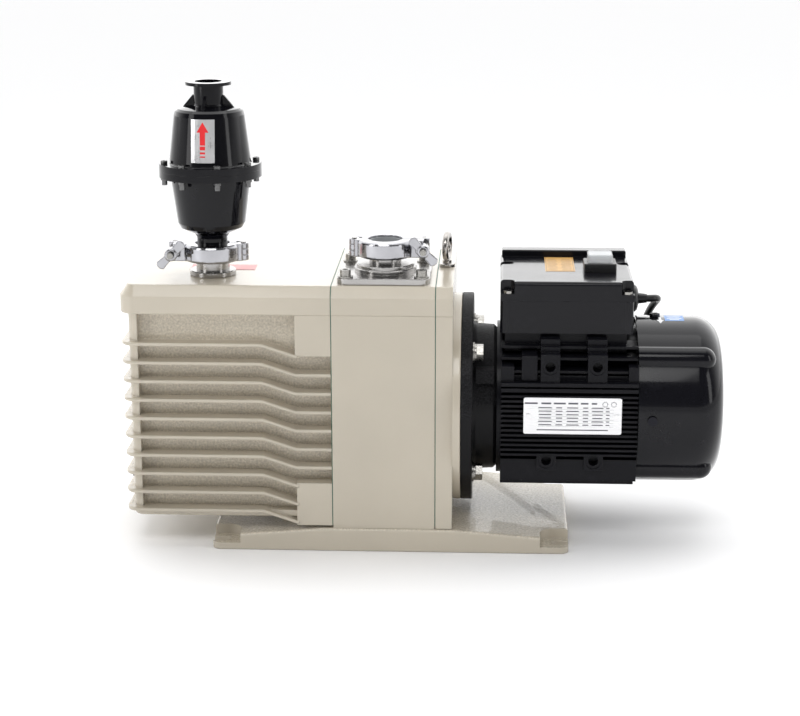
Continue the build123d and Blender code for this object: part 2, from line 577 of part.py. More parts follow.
with BuildPart() as filter_cover:
    turned(EXHAUST_X, PORT_Y, [
        (34, FILTER_SPLIT), (FILTER_R, FILTER_SPLIT), (FILTER_R, FILTER_SPLIT + FILTER_T),
        (38.4, FILTER_SPLIT + FILTER_T), (37.7, FILTER_SPLIT + FILTER_T + 0.8),
        (32.4, 404), (31.2, 408), (28.4, 410),
        (14.5, 412.5), (13.6, 414), (13.6, FILTER_TOP - 3.6), (14.4, FILTER_TOP - 3.2),
        (21, FILTER_TOP - 3), (21, FILTER_TOP), (PORT_R, FILTER_TOP), (PORT_R, 409.5),
        (27.8, 407), (29.4, 404),
    ])
    for turn in GUSSET_TURNS:
        along = (cos(radians(turn)), sin(radians(turn)), 0)
        middle = Plane((EXHAUST_X, PORT_Y, 0), x_dir=along, z_dir=(along[1], -along[0], 0))
        with BuildSketch(middle):
            Polygon((13, 408), (24, 408), (24, 411), (14.6, 422), (13, 422), align=None)
        extrude(amount=1.5, both=True)
    post(EXHAUST_X, PORT_Y, 400, FILTER_TOP + 1, PORT_R, Mode.SUBTRACT)
    with BuildSketch(Plane.XY.offset(FILTER_SPLIT)):
        with Locations((EXHAUST_X, PORT_Y)):
            with PolarLocations(FILTER_BOLT_R, FILTER_BOLTS, start_angle=FILTER_TURN):
                Circle(2.6)
    extrude(amount=10, mode=Mode.SUBTRACT)
save(filter_cover, "filter_cover")

with BuildPart() as filter_element:
    turned(EXHAUST_X, PORT_Y, [(15, 306), (27, 306), (27, 396), (15, 396)])
save(filter_element, "filter_element")

with BuildPart() as filter_bolts:
    for k in range(FILTER_BOLTS):
        angle = radians(FILTER_TURN + 360 * k / FILTER_BOLTS)
        x, y = EXHAUST_X + FILTER_BOLT_R * cos(angle), PORT_Y + FILTER_BOLT_R * sin(angle)
        top = FILTER_SPLIT + FILTER_T
        screw_z(x, y, top, 3.1, 2.6, 2.5, 20, 1.4)
        with BuildSketch(Plane.XY.offset(FLANGE_UNDER)):
            with Locations((x, y)):
                RegularPolygon(3.4, 6)
        extrude(amount=-2.6)
save(filter_bolts, "filter_bolts")

# ---------------------------------------------------------------- fittings
with BuildPart() as eyebolt:
    post(EYE[0], EYE[1], RIM_TOP, RIM_TOP + 3.4, 7.5)
    fillet(eyebolt.edges().filter_by(GeomType.CIRCLE).sort_by(Axis.Z)[-1:], 1)
    post(EYE[0], EYE[1], RIM_TOP, RIM_TOP + 6.5, 4.4)
    post(EYE[0], EYE[1], RIM_TOP - 13, RIM_TOP, 3.9)
    across_eye = (cos(radians(EYE_TURN)), -sin(radians(EYE_TURN)), 0)
    with Locations(Plane((EYE[0], EYE[1], RIM_TOP + 19.4), z_dir=across_eye)):
        Torus(11.6, 3)
save(eyebolt, "eyebolt")

with BuildPart() as sight_glass:
    rod(RIM_LEFT - 1.5, CASE_LEFT + 6, 14.9, z=SIGHT_Z)
    rod(RIM_LEFT - 1.6, RIM_LEFT + 1.5, 11, z=SIGHT_Z, mode=Mode.SUBTRACT)
save(sight_glass, "sight_glass")

with BuildPart() as oil_plugs:
    for y, z, radius in ((0, DRAIN_Z, 7), (FILLER[0], FILLER[1], 9)):
        rod(RIM_LEFT, CASE_LEFT + 6, radius - 0.1, y=y, z=z)
        with BuildSketch(face(RIM_LEFT, y, z)):
            RegularPolygon(radius + 3, 6)
        extrude(amount=-8)
save(oil_plugs, "oil_plugs")

with BuildPart() as gas_ballast_knob:
    knob_y = BODY_Y + 5.4
    pin_y(BALLAST[0], BALLAST[1], BODY_Y - 9, knob_y + 2, 4 - RUN)
    with BuildSketch(Plane((BALLAST[0], knob_y, BALLAST[1]), x_dir=(1, 0, 0), z_dir=(0, 1, 0))):
        Circle(13)
        with PolarLocations(14.6, 8):
            Circle(3.2, mode=Mode.SUBTRACT)
    extrude(amount=13)
    fillet(gas_ballast_knob.faces().sort_by(Axis.Y)[-1].edges(), 1)
save(gas_ballast_knob, "gas_ballast_knob")

# ---------------------------------------------------------------- motor, drive end
FLANGE_BOLTS = [(cos(radians(a)) * BOLT_PCD / 2, sin(radians(a)) * BOLT_PCD / 2)
                for a in (45, 135, 225, 315)]

with BuildPart() as drive_end_shield:
    rod(BOSS_RIGHT, FLANGE_RIGHT, FLANGE_R)
    fillet(drive_end_shield.edges().filter_by(GeomType.CIRCLE), 1.2)
    with BuildSketch(Plane((0, 0, SHAFT_Z), x_dir=(1, 0, 0), z_dir=(0, -1, 0))):
        Polygon((FLANGE_RIGHT - 1, 0), (FLANGE_RIGHT - 1, BELL_R + 3), (FLANGE_RIGHT + 3, BELL_R),
                (BELL_RIGHT - 3, BELL_R - 1), (BELL_RIGHT, BELL_R - 4), (BELL_RIGHT, 0), align=None)
    revolve(axis=Axis((0, 0, SHAFT_Z), (1, 0, 0)))
    for side in (-1, 1):
        block((79.5, 96.5), sorted((side * 50, side * 69)), (SHAFT_Z + 31, SHAFT_Z + 44))
    rod(BOSS_RIGHT - 1, BELL_RIGHT - 6, 60, mode=Mode.SUBTRACT)
    rod(BELL_RIGHT - 6, BELL_RIGHT + 18, 29)
    rod(BOSS_RIGHT - 1, BELL_RIGHT + 19, 14, mode=Mode.SUBTRACT)
    rod(BELL_RIGHT + 2, BELL_RIGHT + 19, BEARING_R, mode=Mode.SUBTRACT)
    for y, z in FLANGE_BOLTS:
        rod(BOSS_RIGHT - 1, FLANGE_RIGHT + 1, 5.4, y=y, z=SHAFT_Z + z, mode=Mode.SUBTRACT)
save(drive_end_shield, "drive_end_shield")

with BuildPart() as flange_bolts:
    for y, z in FLANGE_BOLTS:
        height = SHAFT_Z + z
        rod(PLATE_X[0] + 6, FLANGE_RIGHT, 4.9, y=y, z=height)
        rod(FLANGE_RIGHT, FLANGE_RIGHT + 1.6, 9.5, y=y, z=height)
        rod(FLANGE_RIGHT + 1.6, FLANGE_RIGHT + 3.4, 8, y=y, z=height)
        with BuildSketch(face(FLANGE_RIGHT + 3.4, y, height)):
            RegularPolygon(8.2, 6)
        extrude(amount=6.4)
save(flange_bolts, "flange_bolts")

# ---------------------------------------------------------------- motor frame
SIDE_FINS, SIDE_PITCH, SIDE_TOP = 14, 4.7, 27.0
PAD_PAIRS = ((139.5, 157.3), (183.0, 201.0))
LOW_PADS = ((136.8, 155.0), (180.8, 198.8))
PAD_HOLE_Z, LOW_HOLE_Z = 49.0, -41.5


def motor_side(side):
    """Fins, foot pads and lugs on one side of the stator frame, built outwards from the core."""
    def out(a, b):
        return sorted((side * a, side * b))

    def level(a, b):
        return (SHAFT_Z + a, SHAFT_Z + b)

    length = (BELL_RIGHT + 4, FRAME_RIGHT - 2)
    block(length, out(48, MOTOR_Y + 0.6), level(SIDE_TOP - 1.5, SIDE_TOP + 2))
    for k in range(1, SIDE_FINS):
        top = SIDE_TOP - SIDE_PITCH * k
        block(length, out(48, MOTOR_Y), level(top - 2.1, top))
    block(length, out(48, MOTOR_Y + 1), level(31, 34.5))
    for height, reach in ((44, 68), (55, 62), (64, 54)):
        block(length, out(30, reach), level(height - 2.4, height))
    block(length, out(44, 66), level(34, 39))
    block(length, out(46, 71), level(-62, -41))
    for pad in PAD_PAIRS:
        block(pad, out(44, 75), level(34, 61))
        block(pad, out(40, 66), level(61, 66))
        block(pad, out(36, 60), level(66, 72))
    for pad in LOW_PADS:
        block(pad, out(46, 75.5), level(-50.5, -34))
    block((122, 136.5), out(46, 72), level(35, 59))
    for lug in ((BELL_RIGHT + 4, 115), (221, FRAME_RIGHT - 1.8)):
        block(lug, out(50, 73), level(34, 49))


with BuildPart() as stator_frame:
    rod(BELL_RIGHT, FRAME_RIGHT, FRAME_R)
    rod(BELL_RIGHT, BELL_RIGHT + 5.5, 73)
    for side in (-1, 1):
        motor_side(side)
    block((106, 220), (-44, 60), (SHAFT_Z + 56, BOX_LOW))
    for y in (-36, -24, -12, 0, 12, 24, 36):
        block((BELL_RIGHT + 4, FRAME_RIGHT - 2), (y - 1.5, y + 1.5), (SHAFT_Z - 76, SHAFT_Z - 58))
    rod(BELL_RIGHT - 1, FRAME_RIGHT + 1, CORE_R, mode=Mode.SUBTRACT)
    for side in (-1, 1):
        for pads, height, floor_y in ((PAD_PAIRS, PAD_HOLE_Z, 75), (LOW_PADS, LOW_HOLE_Z, 75.5)):
            for pad in pads:
                middle = sum(pad) / 2
                seat = sorted((side * (floor_y - 1), side * 80))
                hole = sorted((side * (floor_y - 11), side * 80))
                pin_y(middle, SHAFT_Z + height, seat[0], seat[1], 7.4, Mode.SUBTRACT)
                pin_y(middle, SHAFT_Z + height, hole[0], hole[1], 4.6, Mode.SUBTRACT)
save(stator_frame, "stator_frame")

CORE_X = (130.0, 205.0)

with BuildPart() as wound_stator:
    rod(CORE_X[0], CORE_X[1], CORE_R)
    for span in ((112, CORE_X[0]), (CORE_X[1], 220)):
        rod(span[0], span[1], 57)
    rod(110, 222, 38.5, mode=Mode.SUBTRACT)
    for span in ((111, CORE_X[0]), (CORE_X[1], 221)):
        rod(span[0], span[1], 43, mode=Mode.SUBTRACT)
save(wound_stator, "wound_stator")

REAR_BEARING = 220.0

with BuildPart() as motor_rotor:
    rod(FAR_HUB_X[0] + 2, 262, MOTOR_SHAFT_R)
    rod(CORE_X[0], CORE_X[1], 38)
    for span in ((CORE_X[0] - 6, CORE_X[0]), (CORE_X[1], CORE_X[1] + 6)):
        rod(span[0], span[1], 36)
save(motor_rotor, "motor_rotor")

with BuildPart() as motor_bearings:
    for start in (BELL_RIGHT + 3, REAR_BEARING + 2):
        rod(start, start + BEARING_W, BEARING_R)
        rod(start - 1, start + BEARING_W + 1, MOTOR_SHAFT_R + RUN, mode=Mode.SUBTRACT)
        for end in (start, start + BEARING_W):
            rod(end - 0.6, end + 0.6, 19.5, mode=Mode.SUBTRACT)
            rod(max(start, end - 0.6), min(start + BEARING_W, end + 0.6), 13.5)
        rod(start - 1, start + BEARING_W + 1, MOTOR_SHAFT_R + RUN, mode=Mode.SUBTRACT)
save(motor_bearings, "motor_bearings")

with BuildPart() as rear_end_shield:
    rod(FRAME_RIGHT, FRAME_RIGHT + 8, 72)
    rod(FRAME_RIGHT - 3, FRAME_RIGHT, CORE_R - 0.1)
    rod(REAR_BEARING, FRAME_RIGHT + 8, 29)
    rod(REAR_BEARING - 1, FRAME_RIGHT + 9, 12, mode=Mode.SUBTRACT)
    rod(REAR_BEARING - 1, REAR_BEARING + 2 + BEARING_W, BEARING_R, mode=Mode.SUBTRACT)
save(rear_end_shield, "rear_end_shield")

FAN_X = (246.0, 264.0)

with BuildPart() as cooling_fan:
    rod(FAN_X[0], FAN_X[1], 15)
    rod(FAN_X[0], FAN_X[0] + 2.5, 40)
    with BuildSketch(face(FAN_X[0])):
        with PolarLocations(37, 7):
            Rectangle(50, 2.6)
    extrude(amount=16)
    rod(FAN_X[0] - 1, 262, MOTOR_SHAFT_R, mode=Mode.SUBTRACT)
save(cooling_fan, "cooling_fan")

CORNER_R, DOME_RIM, DOME_EDGE = 25.0, 56.0, 311.0
BULGE_AT, BULGE_R, BULGE_END = 73.5, 12.0, 290.6


def cowl_solid(shrink):
    """The filled outline of the fan cowl, drawn in by shrink."""
    radius = COWL_R - shrink
    with BuildPart() as shape:
        with BuildSketch(Plane((0, 0, SHAFT_Z), x_dir=(1, 0, 0), z_dir=(0, -1, 0))):
            with BuildLine():
                Polyline((FRAME_RIGHT - 1.5 - shrink, 0), (FRAME_RIGHT - 1.5 - shrink, radius),
                         (DOME_EDGE - CORNER_R, radius))
                corner = (DOME_EDGE - shrink - 7, radius - 8)
                ThreePointArc((DOME_EDGE - CORNER_R, radius), corner,
                              (DOME_EDGE - shrink, DOME_RIM - shrink))
                Polyline((DOME_EDGE - shrink, DOME_RIM - shrink), (COWL_RIGHT - shrink - 1, 34),
                         (COWL_RIGHT - shrink, 14), (COWL_RIGHT - shrink, 0),
                         (FRAME_RIGHT - 1.5 - shrink, 0))
            make_face()
        revolve(axis=Axis((0, 0, SHAFT_Z), (1, 0, 0)))
        for turn in (45, 135, 225, 315):
            y = BULGE_AT * cos(radians(turn))
            z = SHAFT_Z + BULGE_AT * sin(radians(turn))
            rod(FRAME_RIGHT - 1.5 - shrink, BULGE_END, BULGE_R - shrink, y=y, z=z)
            with Locations((BULGE_END, y, z)):
                Sphere(BULGE_R - shrink)
    return shape.part


cowl_outside, cowl_inside = cowl_solid(0), cowl_solid(COWL_T)

with BuildPart() as fan_cowl:
    add(cowl_outside)
    add(cowl_inside, mode=Mode.SUBTRACT)
    with BuildSketch(face(COWL_RIGHT - 12)):
        with PolarLocations(36, 16):
            SlotOverall(30, 5)
    extrude(amount=20, mode=Mode.SUBTRACT)
    pin_y(COWL_SCREW_X, SHAFT_Z, -COWL_R - 1, COWL_R + 1, 2.4, Mode.SUBTRACT)
save(fan_cowl, "fan_cowl")

# ---------------------------------------------------------------- capacitor box and switch
LID_SCREW_X, LID_SCREW_Y = (109.0, 219.5), (-45.5, 34.0)
LID_SCREWS = [(x, y) for x in LID_SCREW_X for y in LID_SCREW_Y]
POCKET_Z = 239.5

with BuildPart() as capacitor_box:
    block(BOX_X, BOX_Y, (BOX_LOW, BOX_SEAM))
    fillet(capacitor_box.edges().filter_by(Axis.Z), 4)
    block((BOX_X[0] + 3, BOX_X[1] - 3), (BOX_Y[0] + 3, BOX_Y[1] - 3), (BOX_LOW + 3, BOX_SEAM),
          Mode.SUBTRACT)
    for x, y in LID_SCREWS:
        post(x, y, BOX_LOW, BOX_SEAM, 5)
        post(x, y, BOX_SEAM - 12, BOX_SEAM + 1, 2.4, Mode.SUBTRACT)
    rod(BOX_X[1] - 4, BOX_X[1] + 1, 8, y=GLAND[0], z=GLAND[1], mode=Mode.SUBTRACT)
save(capacitor_box, "capacitor_box")

with BuildPart() as capacitors:
    for y, length in ((-24, 80), (12, 62)):
        rod(124, 124 + length, 12.5, y=y, z=BOX_LOW + 16)
        rod(124 + length, 130 + length, 9, y=y, z=BOX_LOW + 16)
save(capacitors, "capacitors")

SWITCH_X, SWITCH_Y = (180.5, 211.3), (-6.0, 22.0)
SWITCH_TOP = 259.2

with BuildPart() as box_lid:
    block(BOX_X, BOX_Y, (BOX_SEAM, BOX_TOP))
    fillet(box_lid.edges().filter_by(Axis.Z), 4)
    fillet([e for e in box_lid.edges() if abs(e.center().Z - BOX_TOP) < 0.1
            and e.center().Y < 70], 3.5)
    block((BOX_X[0] + 1.5, BOX_X[1] - 1.5), (64, BOX_Y[1]), (BOX_TOP - 4, BOX_RAISED))
    fillet([e for e in box_lid.edges() if abs(e.center().Z - BOX_RAISED) < 0.1], 1.5)
    block((BOX_X[0] + 3, BOX_X[1] - 3), (BOX_Y[0] + 3, BOX_Y[1] - 3), (BOX_SEAM, BOX_TOP - 3),
          Mode.SUBTRACT)
    for x, y in LID_SCREWS:
        edge_x = BOX_X[0] - 5 if x < 150 else BOX_X[1] + 5
        post(x, y, BOX_SEAM, BOX_TOP, 7.2)
        block(sorted((edge_x, x)), (y - 7.2, y + 7.2), (BOX_SEAM, POCKET_Z))
        block((BOX_X[0] - 20, BOX_X[0]), both(90), (BOX_SEAM - 1, BOX_TOP + 9), Mode.SUBTRACT)
        block((BOX_X[1], BOX_X[1] + 20), both(90), (BOX_SEAM - 1, BOX_TOP + 9), Mode.SUBTRACT)
        block(both(300), (BOX_Y[0] - 20, BOX_Y[0]), (BOX_SEAM - 1, BOX_TOP + 9), Mode.SUBTRACT)
        post(x, y, POCKET_Z, BOX_TOP + 1, 5.6, Mode.SUBTRACT)
        block(sorted((edge_x, x)), (y - 5.6, y + 5.6), (POCKET_Z, BOX_TOP + 1), Mode.SUBTRACT)
        if y < 0:
            block((x - 5.6, x + 5.6), (BOX_Y[0] - 1, y), (POCKET_Z, BOX_TOP + 1), Mode.SUBTRACT)
        post(x, y, BOX_SEAM - 1, POCKET_Z + 1, 2.6, Mode.SUBTRACT)
    block((184, 208), (-3, 19), (BOX_TOP - 4, BOX_TOP + 1), Mode.SUBTRACT)
save(box_lid, "box_lid")

with BuildPart() as motor_screws:
    for x, y in LID_SCREWS:
        post(x, y, BOX_SEAM - 10, POCKET_Z, 2.3)
        post(x, y, POCKET_Z, POCKET_Z + 2.6, 4.3)
    for side in (-1, 1):
        shank = sorted((side * 72, side * COWL_R))
        head = sorted((side * COWL_R, side * (COWL_R + 2.4)))
        pin_y(COWL_SCREW_X, SHAFT_Z, shank[0], shank[1], 2.3)
        pin_y(COWL_SCREW_X, SHAFT_Z, head[0], head[1], 4.6)
    with BuildSketch(Plane.XY.offset(SHAFT_Z + COWL_R)):
        with Locations((TOP_SCREW_X, TOP_SCREW_Y)):
            RegularPolygon(TOP_SCREW_R, 6)
    extrude(amount=3.2)
save(motor_screws, "motor_screws")

with BuildPart() as switch_housing:
    block(SWITCH_X, SWITCH_Y, (BOX_TOP, SWITCH_TOP))
    fillet(switch_housing.edges().filter_by(Axis.Z), 2)
    fillet([e for e in switch_housing.edges() if abs(e.center().Z - SWITCH_TOP) < 0.1], 1)
    block((184.6, 207.4), (-2.4, 18.4), (BOX_TOP - 12, BOX_TOP))
    block((186.4, 205.4), (-0.6, 16.6), (BOX_TOP - 8, SWITCH_TOP + 1), Mode.SUBTRACT)
save(switch_housing, "switch_housing")

ROCKER_X, ROCKER_Z = 195.9, 256.0

with BuildPart() as switch_rocker:
    with BuildSketch(Plane((ROCKER_X, 8, ROCKER_Z), x_dir=(1, 0, 0), z_dir=(0, -1, 0))):
        Polygon((-8.2, 5.6), (0, 3.4), (8.2, 2.2), (8.2, -1.2), (0, -4), (-8.2, 1), align=None)
    extrude(amount=7.8, both=True)
save(switch_rocker, "switch_rocker")

with BuildPart() as switch_boot:
    block((184, 207.8), (-3, 19), (SWITCH_TOP, 267.5))
    fillet(switch_boot.edges().filter_by(Axis.Z), 3)
    fillet([e for e in switch_boot.edges() if abs(e.center().Z - 267.5) < 0.1], 2)
    block((185.4, 206.4), (-1.6, 17.6), (SWITCH_TOP - 1, 266.2), Mode.SUBTRACT)
save(switch_boot, "switch_boot")

PLATE_SIZE = (91.0, 35.0)
PLATE_AT = (169.5, SHAFT_Z + 3.2)

with BuildPart() as nameplate:
    plate_y = -MOTOR_Y
    with BuildSketch(Plane((PLATE_AT[0], plate_y, PLATE_AT[1]), x_dir=(1, 0, 0), z_dir=(0, -1, 0))):
        RectangleRounded(PLATE_SIZE[0], PLATE_SIZE[1], 2)
    extrude(amount=0.8)
    for side in (-1, 1):
        x = PLATE_AT[0] + side * 41
        pin_y(x, PLATE_AT[1], -MOTOR_Y - 2.2, -MOTOR_Y, 2.1)
save(nameplate, "nameplate")

# ---------------------------------------------------------------- mains lead
with BuildPart() as cable_gland:
    rod(BOX_X[1] - 3, BOX_X[1], 7.9, y=GLAND[0], z=GLAND[1])
    with BuildSketch(Plane((0, GLAND[0], GLAND[1]), x_dir=(1, 0, 0), z_dir=(0, -1, 0))):
        Polygon((BOX_X[1], 0), (BOX_X[1], 13), (BOX_X[1] + 6, 13), (BOX_X[1] + 8, 11),
                (BOX_X[1] + 9, 7.4), (BOX_X[1] + 9.5, 5.2), (GLAND_OUT, 4.2), (GLAND_OUT, 0),
                align=None)
    revolve(axis=Axis((0, GLAND[0], GLAND[1]), (1, 0, 0)))
save(cable_gland, "cable_gland")

# The lead leaves the gland, folds back over the cowl, hangs behind the motor and meets the floor.
CORD_ROUTE = [
    (GLAND_OUT, 28, 218.5), (248, 28, 218.5), (253, 31.5, 218), (254.5, 38, 215.5),
    (252.5, 46, 210.5), (249, 55.5, 202), (246, 66, 190.5), (241, 77, 173), (231, 86, 150),
    (218, 93.5, 127), (201, 100, 104.5), (180, 106, 83.5), (156, 110.5, 65.5), (130, 114, 51),
    (104, 116, 39.5), (78, 117.4, 29), (53, 118.2, 19), (29, 118.6, 10.5), (6, 118.4, 5),
    (-16, 118, 3.6),
]


def bend_radii(points):
    """The largest tangent arc that each corner's two runs leave room for."""
    radii = []
    for before, here, after in zip(points, points[1:], points[2:]):
        a, b = Vector(*here) - Vector(*before), Vector(*after) - Vector(*here)
        radii.append(0.45 * min(a.length, b.length) / tan(radians(a.get_angle(b)) / 2))
    return radii


radii = bend_radii(CORD_ROUTE)
print("cord radii", [round(r) for r in radii])

with BuildPart() as power_cord:
    with BuildLine() as path:
        FilletPolyline(*CORD_ROUTE, radius=radii)
    route = path.wires()[0]
    with BuildSketch(Plane(CORD_ROUTE[0], z_dir=route % 0)):
        Circle(CORD_R)
    sweep(path=route)
print("cord length", round(route.length, 1), "volume ratio",
      round(power_cord.part.volume / (pi * CORD_R**2 * route.length), 4))
save(power_cord, "power_cord")

COIL = (-26.0, 160.0)
COIL_MID, COIL_HALF = 38.5, 7.0
COIL_H = 21.0

with BuildPart() as cord_coil:
    turned(COIL[0], COIL[1], [
        (COIL_MID - COIL_HALF, 0.1), (COIL_MID + COIL_HALF, 0.1),
        (COIL_MID + COIL_HALF, COIL_H), (COIL_MID - COIL_HALF, COIL_H),
    ])
    fillet(cord_coil.edges(), 2.5)
save(cord_coil, "cord_coil")

PLUG_X, PLUG_Y = -116.0, 122.0

with BuildPart() as mains_plug:
    block((PLUG_X - 22, PLUG_X + 22), (PLUG_Y - 13, PLUG_Y + 13), (0.1, 24))
    fillet(mains_plug.edges(), 4)
    rod(PLUG_X + 20, PLUG_X + 48, 5, y=PLUG_Y, z=8)
    for z in (7, 17):
        block((PLUG_X - 40, PLUG_X - 20), (PLUG_Y - 1, PLUG_Y + 1), (z - 3, z + 3))
save(mains_plug, "mains_plug")
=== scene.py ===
"""Looks of a rotary vane vacuum pump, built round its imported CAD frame. Metres, +Z up."""
import json
from math import cos, pi, radians, sin

import bpy
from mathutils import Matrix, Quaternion, Vector


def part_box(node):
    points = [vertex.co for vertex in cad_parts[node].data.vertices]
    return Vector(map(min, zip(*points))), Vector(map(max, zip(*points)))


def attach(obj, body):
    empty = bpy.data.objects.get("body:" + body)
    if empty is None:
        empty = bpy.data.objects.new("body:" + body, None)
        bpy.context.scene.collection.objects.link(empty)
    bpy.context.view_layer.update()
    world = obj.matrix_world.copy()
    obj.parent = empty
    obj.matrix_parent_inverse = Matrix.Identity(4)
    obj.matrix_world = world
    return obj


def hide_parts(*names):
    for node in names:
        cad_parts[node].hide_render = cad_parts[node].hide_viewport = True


MM = 0.001
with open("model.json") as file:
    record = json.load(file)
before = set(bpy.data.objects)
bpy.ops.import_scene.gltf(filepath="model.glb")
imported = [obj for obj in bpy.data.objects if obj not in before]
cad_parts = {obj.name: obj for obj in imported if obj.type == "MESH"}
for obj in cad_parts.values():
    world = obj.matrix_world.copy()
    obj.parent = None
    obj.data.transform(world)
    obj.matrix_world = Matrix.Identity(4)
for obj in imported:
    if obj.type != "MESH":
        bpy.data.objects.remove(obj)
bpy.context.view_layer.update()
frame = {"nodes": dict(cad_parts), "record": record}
nodes = frame["nodes"]
scene = bpy.context.scene
HOUSING = "housing"
FRONT_LEVEL, BACK_LEVEL = 0.12, 1.95    # the room's light from -Y and from +Y
FLOOR_REACH = 60.0


# ---------------------------------------------------------------- camera and light
def add_camera():
    """The photograph's view: slightly above, nearly square on to the pump's front."""
    data = bpy.data.cameras.new("camera")
    data.sensor_width = 36
    data.lens = 88.59
    data.clip_start, data.clip_end = 0.1, 200
    camera = bpy.data.objects.new("camera", data)
    camera.location = (0.0947, -1.8343, 0.6542)
    towards = Vector((-0.0469, 0.9650, -0.2581))
    camera.rotation_mode = "QUATERNION"
    roll = Quaternion((0, 0, 1), radians(-0.11))
    camera.rotation_quaternion = towards.to_track_quat("-Z", "Y") @ roll
    scene.collection.objects.link(camera)
    scene.camera = camera


def add_lamp(name, place, target, size, power, colour=(1, 1, 1)):
    data = bpy.data.lights.new(name, "AREA")
    data.shape = "RECTANGLE"
    data.size, data.size_y = size
    data.energy = power
    data.color = colour
    lamp = bpy.data.objects.new(name, data)
    lamp.location = place
    lamp.rotation_mode = "QUATERNION"
    lamp.rotation_quaternion = (Vector(target) - Vector(place)).to_track_quat("-Z", "Y")
    scene.collection.objects.link(lamp)


def add_world():
    """A white room, bright at +Y and along the skyline and dim at -Y."""
    world = bpy.data.worlds.new("studio")
    world.use_nodes = True
    tree = world.node_tree
    ways = tree.nodes.new("ShaderNodeTexCoord")
    axes = tree.nodes.new("ShaderNodeSeparateXYZ")
    tree.links.new(ways.outputs["Generated"], axes.inputs[0])
    behind = tree.nodes.new("ShaderNodeMapRange")
    behind.interpolation_type = "SMOOTHSTEP"
    for socket, value in (("From Min", -0.35), ("From Max", 0.45),
                          ("To Min", FRONT_LEVEL), ("To Max", BACK_LEVEL)):
        behind.inputs[socket].default_value = value
    tree.links.new(axes.outputs["Y"], behind.inputs["Value"])
    height = tree.nodes.new("ShaderNodeMath")
    height.operation = "ABSOLUTE"
    tree.links.new(axes.outputs["Z"], height.inputs[0])
    skyline = tree.nodes.new("ShaderNodeMapRange")
    for socket, value in (("From Min", 0.04), ("From Max", 0.07), ("To Min", 1.0), ("To Max", 0.0)):
        skyline.inputs[socket].default_value = value
    tree.links.new(height.outputs[0], skyline.inputs["Value"])
    brighter = tree.nodes.new("ShaderNodeMath")
    brighter.operation = "MAXIMUM"
    tree.links.new(behind.outputs["Result"], brighter.inputs[0])
    tree.links.new(skyline.outputs["Result"], brighter.inputs[1])
    tree.links.new(brighter.outputs[0], tree.nodes["Background"].inputs["Strength"])
    tree.nodes["Background"].inputs["Color"].default_value = (1, 1, 1, 1)
    scene.world = world


def add_studio():
    scene.view_settings.view_transform = "Standard"
    add_world()
    add_lamp("soft_top", (0.0, 0.1, 1.7), (0, 0, 0.15), (1.6, 1.0), 6)
    add_lamp("soft_front", (-0.15, -1.5, 1.75), (0, 0, 0.15), (1.3, 0.7), 14)
    add_lamp("soft_left", (-1.5, -1.0, 0.8), (-0.05, 0, 0.15), (0.5, 1.3), 7)
    add_lamp("soft_right", (1.7, -0.9, 0.8), (0.1, 0, 0.15), (0.4, 1.2), 5)
    floor_mesh = bpy.data.meshes.new("floor")
    corners = [(x * FLOOR_REACH, y * FLOOR_REACH, 0) for x, y in ((-1, -1), (1, -1), (1, 1), (-1, 1))]
    floor_mesh.from_pydata(corners, [], [(0, 1, 2, 3)])
    floor = bpy.data.objects.new("floor", floor_mesh)
    floor.location.z = -0.0004
    scene.collection.objects.link(floor)
    paper = bpy.data.materials.new("paper")
    paper.use_nodes = True
    shader = paper.node_tree.nodes["Principled BSDF"]
    shader.inputs["Base Color"].default_value = (0.955, 0.955, 0.96, 1)
    shader.inputs["Roughness"].default_value = 0.9
    floor_mesh.materials.append(paper)


add_camera()
add_studio()


